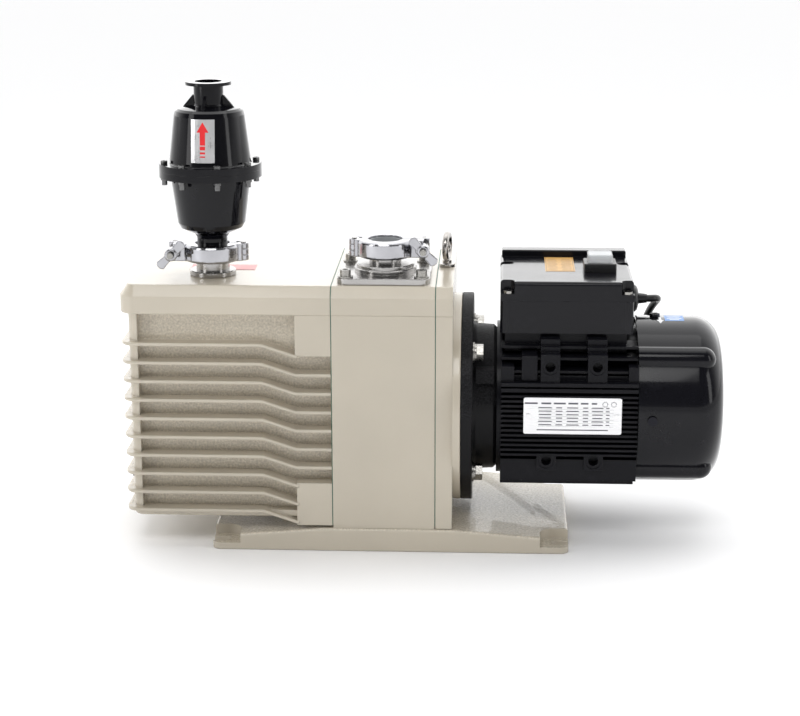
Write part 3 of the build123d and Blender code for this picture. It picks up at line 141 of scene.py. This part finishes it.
# ---------------------------------------------------------------- materials
class Surface:
    """A Principled material, with short calls for the nodes that give it its detail."""

    def __init__(self, name, colour, roughness, metallic=0.0, coat=0.0, alpha=1.0):
        self.material = bpy.data.materials.new(name)
        self.material.use_nodes = True
        self.tree = self.material.node_tree
        self.shader = self.tree.nodes["Principled BSDF"]
        self.colour = (*colour, 1)
        self.roughness = roughness
        self.put(self.shader, "Base Color", self.colour)
        self.put(self.shader, "Roughness", roughness)
        self.put(self.shader, "Metallic", metallic)
        if coat:
            self.put(self.shader, "Coat Weight", coat)
            self.put(self.shader, "Coat Roughness", 0.06)
        if alpha < 1:
            self.put(self.shader, "Alpha", alpha)
        self.place = self.node("ShaderNodeTexCoord").outputs["Object"]
        self.normal = None

    def dim_face_on(self):
        """Glossy black reflects little when faced and much at a glance."""
        self.put(self.shader, "Specular IOR Level", 0.12)
        self.put(self.shader, "Coat IOR", 1.22)

    def node(self, kind, **settings):
        made = self.tree.nodes.new(kind)
        for key, value in settings.items():
            setattr(made, key, value)
        return made

    def put(self, node, socket, value):
        """Sets a socket, or links it where the value is an output."""
        if isinstance(value, bpy.types.NodeSocket):
            self.tree.links.new(value, node.inputs[socket])
        else:
            node.inputs[socket].default_value = value

    def stretched(self, scale):
        mapping = self.node("ShaderNodeMapping")
        self.put(mapping, "Vector", self.place)
        self.put(mapping, "Scale", scale)
        return mapping.outputs["Vector"]

    def noise(self, scale, detail=3.0, rough=0.5, place=None):
        made = self.node("ShaderNodeTexNoise")
        self.put(made, "Vector", place or self.place)
        self.put(made, "Scale", scale)
        self.put(made, "Detail", detail)
        self.put(made, "Roughness", rough)
        return made.outputs["Fac"]

    def cells(self, scale, smooth=0.6):
        made = self.node("ShaderNodeTexVoronoi", feature="SMOOTH_F1")
        self.put(made, "Vector", self.place)
        self.put(made, "Scale", scale)
        self.put(made, "Smoothness", smooth)
        return made.outputs["Distance"]

    def spread(self, value, low, high, to_low=0.0, to_high=1.0):
        """Maps value from low..high to to_low..to_high, held at both ends."""
        made = self.node("ShaderNodeMapRange")
        for socket, number in (("Value", value), ("From Min", low), ("From Max", high),
                               ("To Min", to_low), ("To Max", to_high)):
            self.put(made, socket, number)
        return made.outputs["Result"]

    def maths(self, operation, a, b=0.0, clamp=False):
        made = self.node("ShaderNodeMath", operation=operation, use_clamp=clamp)
        for index, value in ((0, a), (1, b)):
            if isinstance(value, bpy.types.NodeSocket):
                self.tree.links.new(value, made.inputs[index])
            else:
                made.inputs[index].default_value = value
        return made.outputs[0]

    def axis(self, name):
        made = self.node("ShaderNodeSeparateXYZ")
        self.put(made, "Vector", self.place)
        return made.outputs[name]

    def mix(self, share, a, b):
        made = self.node("ShaderNodeMix", data_type="RGBA")
        self.put(made, "Factor", share)
        for index, value in ((6, a), (7, b)):
            if isinstance(value, bpy.types.NodeSocket):
                self.tree.links.new(value, made.inputs[index])
            else:
                made.inputs[index].default_value = (*value[:3], 1)
        return made.outputs[2]

    def round_edges(self, radius):
        """Small rounds where faces meet, as on any cast, moulded or machined edge."""
        made = self.node("ShaderNodeBevel", samples=4)
        self.put(made, "Radius", radius)
        self.normal = made.outputs["Normal"]
        self.put(self.shader, "Normal", self.normal)

    def bump(self, height, depth, strength=1.0):
        made = self.node("ShaderNodeBump")
        self.put(made, "Height", height)
        self.put(made, "Distance", depth)
        self.put(made, "Strength", strength)
        if self.normal:
            self.put(made, "Normal", self.normal)
        self.normal = made.outputs["Normal"]
        self.put(self.shader, "Normal", self.normal)

    def edge(self, radius):
        """1 near edges and 0 on open faces, for wear and for painted edge highlights."""
        rounded = self.node("ShaderNodeBevel", samples=4)
        self.put(rounded, "Radius", radius)
        flat = self.node("ShaderNodeNewGeometry").outputs["Normal"]
        product = self.node("ShaderNodeVectorMath", operation="DOT_PRODUCT")
        self.tree.links.new(rounded.outputs["Normal"], product.inputs[0])
        self.tree.links.new(flat, product.inputs[1])
        return self.spread(product.outputs["Value"], 0.99, 0.80)

    def shade(self, colour):
        self.put(self.shader, "Base Color", colour)

    def gloss(self, value):
        self.put(self.shader, "Roughness", value)

    def mottle(self, amount, scale):
        """Slight light and dark clouds in the colour."""
        low = tuple(c * (1 - amount) for c in self.colour[:3])
        high = tuple(min(1, c * (1 + amount)) for c in self.colour[:3])
        self.shade(self.mix(self.spread(self.noise(scale), 0.3, 0.7), low, high))

    def smudge(self, amount, scale):
        """Slight changes of gloss, as from handling and dust."""
        low, high = max(0.02, self.roughness - amount), self.roughness + amount
        self.gloss(self.spread(self.noise(scale, 4, 0.6), 0.3, 0.7, low, high))


BEIGE = (0.545, 0.492, 0.400)


def hammered_mask(s, parts):
    """1 on the textured faces of the castings: parts is oil_case, base or pump_housing."""
    across = s.maths("ABSOLUTE", s.axis("Y"))
    if parts == "oil_case":
        low_wall = s.spread(across, 0.0785, 0.0775)
        under_rim = s.spread(s.axis("Z"), 0.2268, 0.2262)
        return s.maths("MULTIPLY", low_wall, under_rim)
    geometry = s.node("ShaderNodeNewGeometry").outputs["Normal"]
    up = s.node("ShaderNodeSeparateXYZ")
    s.put(up, "Vector", geometry)
    return s.spread(up.outputs["Z"], 0.4, 0.7)


def paint(name, textured):
    s = Surface(name, BEIGE, 0.24, coat=0.35)
    s.round_edges(0.0012)
    s.bump(s.noise(420, 2, 0.4), 0.00014, 0.6)
    dark = tuple(c * 0.90 for c in BEIGE)
    clouds = s.mix(s.spread(s.noise(6), 0.35, 0.65), dark, BEIGE)
    if textured:
        mask = hammered_mask(s, textured)
        beads = s.maths("ADD", s.cells(330), s.maths("MULTIPLY", s.noise(620, 3, 0.6), 0.7))
        s.bump(s.maths("MULTIPLY", beads, mask), 0.0006, 0.8)
        fleck = s.spread(s.noise(520, 2, 0.5), 0.35, 0.7)
        pale = s.mix(fleck, tuple(c * 0.90 for c in BEIGE), tuple(min(1, c * 1.25) for c in BEIGE))
        clouds = s.mix(mask, clouds, pale)
    # Painted highlight: every edge is mixed partly towards a paler beige, as where light catches the rounded
    # edges.
    s.shade(s.mix(s.maths("MULTIPLY", s.edge(0.0009), 0.35), clouds, (0.72, 0.67, 0.58)))
    s.smudge(0.02, 9)
    return s.material


def gasket(name):
    """Green at its edge, and painted over where a casting leaves its face bare."""
    s = Surface(name, (0.035, 0.12, 0.085), 0.6)
    s.round_edges(0.0002)
    s.bump(s.noise(900, 3), 0.00004, 0.6)
    facing = s.node("ShaderNodeSeparateXYZ")
    s.put(facing, "Vector", s.node("ShaderNodeNewGeometry").outputs["True Normal"])
    bare = s.spread(s.maths("ABSOLUTE", facing.outputs["X"]), 0.6, 0.8)
    s.shade(s.mix(bare, s.mix(s.noise(30), (0.03, 0.10, 0.07), (0.04, 0.13, 0.09)), BEIGE))
    s.smudge(0.06, 25)
    return s.material


def black_paint(name, roughness, grain, depth, coat=0.3, tone=0.0055):
    """Black paint over a casting or sheet; grain and depth set the skin of what is beneath."""
    s = Surface(name, (tone, tone, tone * 1.4), roughness, coat=coat)
    s.dim_face_on()
    s.round_edges(0.0008)
    s.bump(s.noise(grain, 4, 0.6), depth, 0.7)
    dust = s.maths("MULTIPLY", s.spread(s.noise(40, 5, 0.7), 0.56, 0.76), 0.25)
    worn = s.maths("MULTIPLY", s.edge(0.0007), s.spread(s.noise(60, 3), 0.45, 0.75))
    base = s.mix(dust, s.colour, (0.020, 0.020, 0.026))
    s.shade(s.mix(s.maths("MULTIPLY", worn, 0.5), base, (0.07, 0.07, 0.075)))
    s.smudge(0.07, 14)
    return s.material


def cast_black(name):
    """The motor's end shield: rough as cast above, machined and smooth below the shaft line."""
    s = Surface(name, (0.006, 0.006, 0.0068), 0.42, coat=0.15)
    s.dim_face_on()
    s.round_edges(0.0008)
    rough = s.spread(s.maths("ADD", s.axis("Z"), s.maths("MULTIPLY", s.axis("Y"), -0.15)), 0.146, 0.149)
    sand = s.maths("ADD", s.noise(900, 4, 0.75), s.maths("MULTIPLY", s.cells(700, 0.3), 0.6))
    s.bump(s.maths("MULTIPLY", sand, rough), 0.0010, 0.9)
    s.shade(s.mix(s.maths("MULTIPLY", rough, s.spread(s.noise(800, 3), 0.4, 0.7)),
                  s.colour, (0.022, 0.022, 0.024)))
    s.gloss(s.spread(rough, 0, 1, 0.28, 0.55))
    return s.material


def metal(name, colour, roughness, streak=None, depth=0.00002, wear=0.25, radius=0.0005):
    """Bare metal. streak is the scale of its machining lines along X, Y and Z."""
    s = Surface(name, colour, roughness, metallic=1.0)
    s.round_edges(radius)
    lines = s.noise(1.0, 3, 0.6, s.stretched(streak or (700, 700, 700)))
    s.bump(lines, depth, 0.6)
    dull = tuple(c * 0.72 for c in colour)
    s.shade(s.mix(s.maths("MULTIPLY", s.spread(s.noise(35, 4, 0.6), 0.45, 0.75), wear), colour, dull))
    s.gloss(s.maths("ADD", s.spread(lines, 0.3, 0.7, roughness * 0.7, roughness * 1.35),
                    s.spread(s.noise(50, 4), 0.5, 0.8, 0, 0.08)))
    return s.material


def plastic(name, colour, roughness, grain=900, depth=0.00004, radius=0.0006, alpha=1.0):
    s = Surface(name, colour, roughness, alpha=alpha)
    s.round_edges(radius)
    s.bump(s.noise(grain, 3, 0.6), depth, 0.6)
    s.mottle(0.10, 30)
    s.smudge(0.06, 25)
    return s.material


def clear(name, colour, roughness, alpha):
    s = Surface(name, colour, roughness, alpha=alpha)
    s.bump(s.noise(90, 2, 0.5), 0.0002, 0.3)
    s.smudge(0.05, 60)
    s.put(s.shader, "IOR", 1.46)
    return s.material


def windings():
    s = Surface("windings", (0.33, 0.11, 0.04), 0.35, metallic=0.6)
    strands = s.noise(1.0, 3, 0.6, s.stretched((1400, 160, 160)))
    s.bump(strands, 0.0006, 0.8)
    s.shade(s.mix(s.spread(strands, 0.35, 0.65), (0.20, 0.06, 0.02), (0.42, 0.16, 0.06)))
    return s.material


def paper_print(name, colour, ink, roughness=0.4):
    s = Surface(name, colour, roughness)
    s.bump(s.noise(300, 3), 0.00004, 0.5)
    s.shade(s.mix(s.spread(s.noise(120, 4, 0.6), 0.35, 0.75, 0, ink), colour,
                  tuple(c * 0.6 for c in colour)))
    s.smudge(0.06, 60)
    return s.material


def motor_screw():
    """Bright lid screws, and blackened ones on the fan cowl."""
    s = Surface("motor_screw", (0.34, 0.33, 0.31), 0.27, metallic=1.0)
    s.round_edges(0.0005)
    s.bump(s.noise(600, 3), 0.00003, 0.6)
    on_cowl = s.spread(s.axis("X"), 0.2349, 0.2351)
    s.shade(s.mix(on_cowl, s.mix(s.noise(80), (0.36, 0.35, 0.33), (0.30, 0.29, 0.27)),
                  (0.02, 0.02, 0.024)))
    s.smudge(0.06, 50)
    return s.material


PAINTS = {
    "oil_case": paint("paint_case", "oil_case"),
    "base": paint("paint_base", "base"),
    "pump_housing": paint("paint_housing", None),
}
PAINTS["end_plate"] = PAINTS["pump_housing"]

SLOTS = {
    "gasket_green": gasket("gasket_green"),
    "cast_grey": metal("cast_grey", (0.22, 0.22, 0.23), 0.6, depth=0.0002),
    "machined_steel": metal("machined_steel", (0.55, 0.55, 0.56), 0.28, (1200, 60, 60)),
    "vane": plastic("vane", (0.02, 0.02, 0.02), 0.5),
    "seal_rubber": plastic("seal_rubber", (0.012, 0.012, 0.012), 0.7),
    "cast_aluminium": metal("cast_aluminium", (0.60, 0.60, 0.62), 0.45, depth=0.00015),
    "spider_rubber": plastic("spider_rubber", (0.25, 0.02, 0.015), 0.6),
    "stainless": metal("stainless", (0.40, 0.39, 0.38), 0.20, (30, 30, 2600), 0.00003),
    "blank_plastic": plastic("blank_plastic", (0.34, 0.35, 0.36), 0.35),
    "clamp_aluminium": metal("clamp_aluminium", (0.42, 0.42, 0.44), 0.07, (90, 90, 90), 0.0004, 0.5, 0.0016),
    "steel_bolt": metal("steel_bolt", (0.34, 0.33, 0.31), 0.27, (500, 500, 900), 0.00003, 0.5),
    "filter_black": black_paint("filter_black", 0.10, 60, 0.00004, 0.9, 0.004),
    "filter_media": plastic("filter_media", (0.75, 0.72, 0.64), 0.9, 500, 0.0006),
    "eyebolt_steel": metal("eyebolt_steel", (0.42, 0.40, 0.38), 0.22, (120, 120, 120), 0.0001, 0.6),
    "sight_glass": clear("sight_glass", (0.85, 0.88, 0.86), 0.08, 0.35),
    "plug_black": plastic("plug_black", (0.012, 0.012, 0.013), 0.32),
    "motor_black": black_paint("motor_black", 0.33, 500, 0.00022, 0.2),
    "windings": windings(),
    "fan_plastic": plastic("fan_plastic", (0.02, 0.02, 0.02), 0.5),
    "cowl_black": black_paint("cowl_black", 0.17, 45, 0.00005, 0.9),
    "box_black": black_paint("box_black", 0.22, 260, 0.00008, 0.8),
    "capacitor_can": plastic("capacitor_can", (0.60, 0.61, 0.62), 0.3),
    "rocker_black": plastic("rocker_black", (0.01, 0.01, 0.01), 0.2),
    "clear_boot": clear("clear_boot", (0.86, 0.88, 0.90), 0.16, 0.45),
    "gland_black": plastic("gland_black", (0.012, 0.012, 0.013), 0.3),
    "nameplate_metal": metal("nameplate_metal", (0.80, 0.80, 0.81), 0.30, (8, 900, 900), 0.00002, 0.1),
    "cord_pvc": plastic("cord_pvc", (0.014, 0.014, 0.015), 0.34, 500, 0.00008),
    "plug_pvc": plastic("plug_pvc", (0.014, 0.014, 0.015), 0.38),
}
OWN = {
    "drive_end_shield": cast_black("cast_black"),
    "motor_screws": motor_screw(),
    "filter_bolts": metal("filter_bolt", (0.16, 0.16, 0.16), 0.3, (500, 500, 900), 0.00003, 0.5),
}


def dress_nodes():
    """Every CAD node takes its own material, or else its slot's."""
    for entry in frame["record"]["subparts"]:
        name, slot = entry["node"], entry["material_slot"]
        node = nodes[name]
        material = PAINTS.get(name) or OWN.get(name) or SLOTS[slot]
        node.data.materials.clear()
        node.data.materials.append(material)


dress_nodes()


# ---------------------------------------------------------------- mains lead
CORD_DIAMETER = 0.007
GLAND_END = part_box("cable_gland")[1].x / MM
CORD_ROUTE = [
    (GLAND_END, 28, 218.5), (248, 28, 218.5), (253, 31.5, 218), (254.5, 38, 215.5),
    (252.5, 46, 210.5), (249, 55.5, 202), (246, 66, 190.5), (241, 77, 173), (231, 86, 150),
    (218, 93.5, 127), (201, 100, 104.5), (180, 106, 83.5), (156, 110.5, 65.5), (130, 114, 51),
    (104, 116, 39.5), (78, 117.4, 29), (53, 118.2, 19), (29, 118.6, 10.5), (6, 118.4, 5),
    (-16, 118, 3.6),
]


def coil_points():
    """The put-away turns: outer and inner rings, three layers high, wound clockwise."""
    low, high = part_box("cord_coil")
    middle = (low + high) / 2
    outer = (high.x - low.x) / 2 - CORD_DIAMETER / 2
    inner = outer - CORD_DIAMETER
    floor = CORD_DIAMETER / 2 + 0.0001
    layers = [floor + CORD_DIAMETER * k for k in range(3)]
    turns = [(outer, layers[0]), (inner, layers[0]), (inner, layers[1]), (outer, layers[1]),
             (inner, layers[2]), (outer, layers[2])]
    steps = 16
    points = []
    for index, (radius, height) in enumerate(turns):
        after = turns[min(index + 1, len(turns) - 1)]
        for step in range(steps):
            share = max(0, (step - steps + 4) / 4)
            r = radius + (after[0] - radius) * share
            z = height + (after[1] - height) * share
            angle = -pi / 2 - 2 * pi * (step + 1) / steps
            points.append((middle.x + r * cos(angle), middle.y + r * sin(angle), z))
    return points


def add_cord():
    low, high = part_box("mains_plug")
    plug_end = Vector((high.x, (low.y + high.y) / 2, 8 * MM))
    points = [tuple(v * MM for v in p) for p in CORD_ROUTE] + coil_points()
    last = Vector(points[-1])
    points.append(tuple(last.lerp(plug_end, 0.55) + Vector((0, 0, 0.002))))
    points.append(tuple(plug_end - Vector((0.002, 0, 0))))
    data = bpy.data.curves.new("mains_lead", "CURVE")
    data.dimensions = "3D"
    data.bevel_depth = CORD_DIAMETER / 2
    data.bevel_resolution = 5
    data.resolution_u = 8
    data.use_fill_caps = True
    spline = data.splines.new("NURBS")
    spline.points.add(len(points) - 1)
    for point, place in zip(spline.points, points):
        point.co = (*place, 1)
    spline.order_u = 3
    spline.use_endpoint_u = True
    lead = bpy.data.objects.new("mains_lead", data)
    scene.collection.objects.link(lead)
    data.materials.append(SLOTS["cord_pvc"])
    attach(lead, HOUSING)
    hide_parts("power_cord", "cord_coil")
    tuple(points[0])


add_cord()


# ---------------------------------------------------------------- labels
def add_mesh(name, vertices, faces, material, smooth=False, body=HOUSING):
    mesh = bpy.data.meshes.new(name)
    mesh.from_pydata(vertices, [], faces)
    mesh.validate()
    if smooth:
        mesh.shade_smooth()
    mesh.materials.append(material)
    made = bpy.data.objects.new(name, mesh)
    scene.collection.objects.link(made)
    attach(made, body)
    return made


def strips(shapes, place, lift, thickness):
    """Vertices and faces of thin printed strips. Each shape is (middle_u, v0, v1, width0, width1);
    place turns (u, v, height) into a point of the surface that the strips lie on."""
    vertices, faces = [], []
    across, along = 6, 6
    for middle, v0, v1, width0, width1 in shapes:
        for level in (lift, lift + thickness):
            for j in range(along + 1):
                share = j / along
                width = width0 + (width1 - width0) * share
                for i in range(across + 1):
                    u = middle + width * (i / across - 0.5)
                    vertices.append(place(u, v0 + (v1 - v0) * share, level))
        row, sheet = across + 1, (across + 1) * (along + 1)
        start = len(vertices) - 2 * sheet
        for j in range(along):
            for i in range(across):
                a = start + j * row + i
                faces.append((a, a + row, a + row + 1, a + 1))
                b = a + sheet
                faces.append((b, b + 1, b + row + 1, b + row))
        rim = [start + i for i in range(row)]
        rim += [start + j * row + across for j in range(1, along + 1)]
        rim += [start + along * row + i for i in range(across - 1, -1, -1)]
        rim += [start + j * row for j in range(along - 1, 0, -1)]
        for a, b in zip(rim, rim[1:] + rim[:1]):
            faces.append((a, b, b + sheet, a + sheet))
    return vertices, faces


def printed(name, shapes, place, material, lift=0.05, thickness=0.1):
    vertices, faces = strips(shapes, place, lift, thickness)
    vertices = [tuple(c * MM for c in v) for v in vertices]
    return add_mesh(name, vertices, faces, material)


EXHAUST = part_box("filter_cover")
FILTER_X = (EXHAUST[0].x + EXHAUST[1].x) / 2 / MM
FILTER_Y = (EXHAUST[0].y + EXHAUST[1].y) / 2 / MM
COVER_FOOT = EXHAUST[0].z / MM + 7.1


def on_cover(u, v, height):
    """A point on the front of the filter cover, which narrows upwards."""
    radius = 37.7 - v * (37.7 - 32.4) / 43.2 + height
    angle = -pi / 2 - radians(2.6) + u / radius
    return (FILTER_X + radius * cos(angle), FILTER_Y + radius * sin(angle), COVER_FOOT + v)


def add_filter_label():
    foil = metal("label_foil", (0.78, 0.78, 0.79), 0.32, (300, 300, 40), 0.00006, 0.2, 0.0001)
    red = paper_print("label_red", (0.75, 0.02, 0.025), 0.2)
    printed("filter_label", [(0, 3.6, 42.6, 22, 22)], on_cover, foil)
    arrow = [(0, 19.5, 31.0, 4.8, 4.8), (0, 31.0, 40.0, 11.0, 0.3)]
    dashes = [(0, 15.2, 18.6, 4.8, 4.8), (0, 11.6, 13.4, 4.8, 4.8), (0, 8.6, 9.8, 4.8, 4.8)]
    printed("filter_label_arrow", arrow + dashes, on_cover, red, 0.16, 0.06)


def flat_on(height, x0, y0):
    def place(u, v, lift):
        return (x0 + u, y0 + v, height + lift)
    return place


def add_top_labels():
    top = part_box("oil_case")[1].z / MM
    pink = paper_print("label_pink", (0.80, 0.34, 0.34), 0.15)
    dark_red = paper_print("label_dark_red", (0.30, 0.03, 0.03), 0.2)
    printed("case_label", [(31, 1.6, 24, 62, 62)], flat_on(top, FILTER_X - 25, -20), pink)
    printed("case_label_band", [(31, 0, 1.8, 62, 62)], flat_on(top, FILTER_X - 25, -20), dark_red)

    lid_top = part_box("switch_housing")[0].z / MM + 12
    amber = paper_print("label_amber", (0.62, 0.36, 0.10), 0.35)
    ink = paper_print("label_ink", (0.22, 0.12, 0.05), 0.2)
    place = flat_on(lid_top, 158.3, -2.5)
    printed("lid_label", [(0, 0, 64, 28, 28)], place, amber)
    lines = []
    for k in range(11):
        length = (9.5, 7.5, 10.0)[k % 3]
        for middle in (-7, 6.5):
            lines.append((middle, 5 + 5 * k, 6.3 + 5 * k, length, length))
    lines += [(0, 1.2, 1.8, 26, 26), (0, 62.2, 62.8, 26, 26)]
    lines += [(-12.9, 1.2, 62.8, 0.5, 0.5), (12.9, 1.2, 62.8, 0.5, 0.5)]
    printed("lid_label_print", lines, place, ink, 0.16, 0.04)


def add_nameplate_print():
    low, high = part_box("nameplate")
    front = -77.8
    middle_x, middle_z = (low.x + high.x) / 2 / MM, (low.z + high.z) / 2 / MM

    def place(u, v, lift):
        return (middle_x + u, front - lift, middle_z + v)

    ink = paper_print("plate_ink", (0.10, 0.10, 0.12), 0.2)
    marks = []
    title = [(-38.5, 12), (-24.5, 9), (-12, 11), (0.5, 9), (11, 7), (20, 5)]
    for u, width in title:
        marks.append((u, 11.4, 13.0, width, width))
    for row in range(6):
        v = 8.0 - 3.3 * row
        for column, width in ((-25.5, 14), (-12.5, 7), (0, 13), (12, 6), (23, 12), (32.5, 4)):
            share = 0.75 + 0.08 * ((row * 3 + int(column)) % 4)
            marks.append((column, v - 0.5, v + 0.5, width * share, width * 0.8))
        marks.append((3, v - 1.7, v - 1.55, 70, 70))
    marks.append((0, -14.0, -12.9, 66, 66))
    printed("nameplate_print", marks, place, ink, 0.02, 0.05)
    ring = []
    for centre_u in (30.0, 38.0):
        for k in range(10):
            a = 2 * pi * k / 10
            v = 11.6 + 2.3 * sin(a)
            ring.append((centre_u + 2.3 * cos(a), v - 0.4, v + 0.4, 0.9, 0.9))
    printed("nameplate_seals", ring, place, ink, 0.02, 0.05)


SHAFT_Z = 127.0
COWL_R = 79.5


def on_cowl(x0, angle0):
    """A place on the fan cowl: u runs along the shaft, v round it towards the front."""
    def place(u, v, lift):
        angle = radians(90) + radians(angle0) + v / COWL_R
        radius = COWL_R + lift
        return (x0 + u, radius * cos(angle), SHAFT_Z + radius * sin(angle))
    return place


def add_cowl_labels():
    blue = paper_print("label_blue", (0.16, 0.32, 0.66), 0.3)
    white = paper_print("label_white", (0.85, 0.86, 0.88), 0.05)
    place = on_cowl(258, -6.4)
    printed("cowl_label", [(9, 0, 19.7, 18, 18)], place, blue)
    lines = [(9, 4 + 4 * k, 5.4 + 4 * k, (13, 10, 14, 9)[k], (13, 10, 14, 9)[k]) for k in range(4)]
    printed("cowl_label_print", lines, place, white, 0.16, 0.05)
    arrow = [(3.5, 0, 9, 2.2, 2.2), (3.5, 9, 16.5, 7, 0.3)]
    printed("cowl_arrow", arrow, on_cowl(250, 0), white)


add_filter_label()
add_top_labels()
add_nameplate_print()
add_cowl_labels()
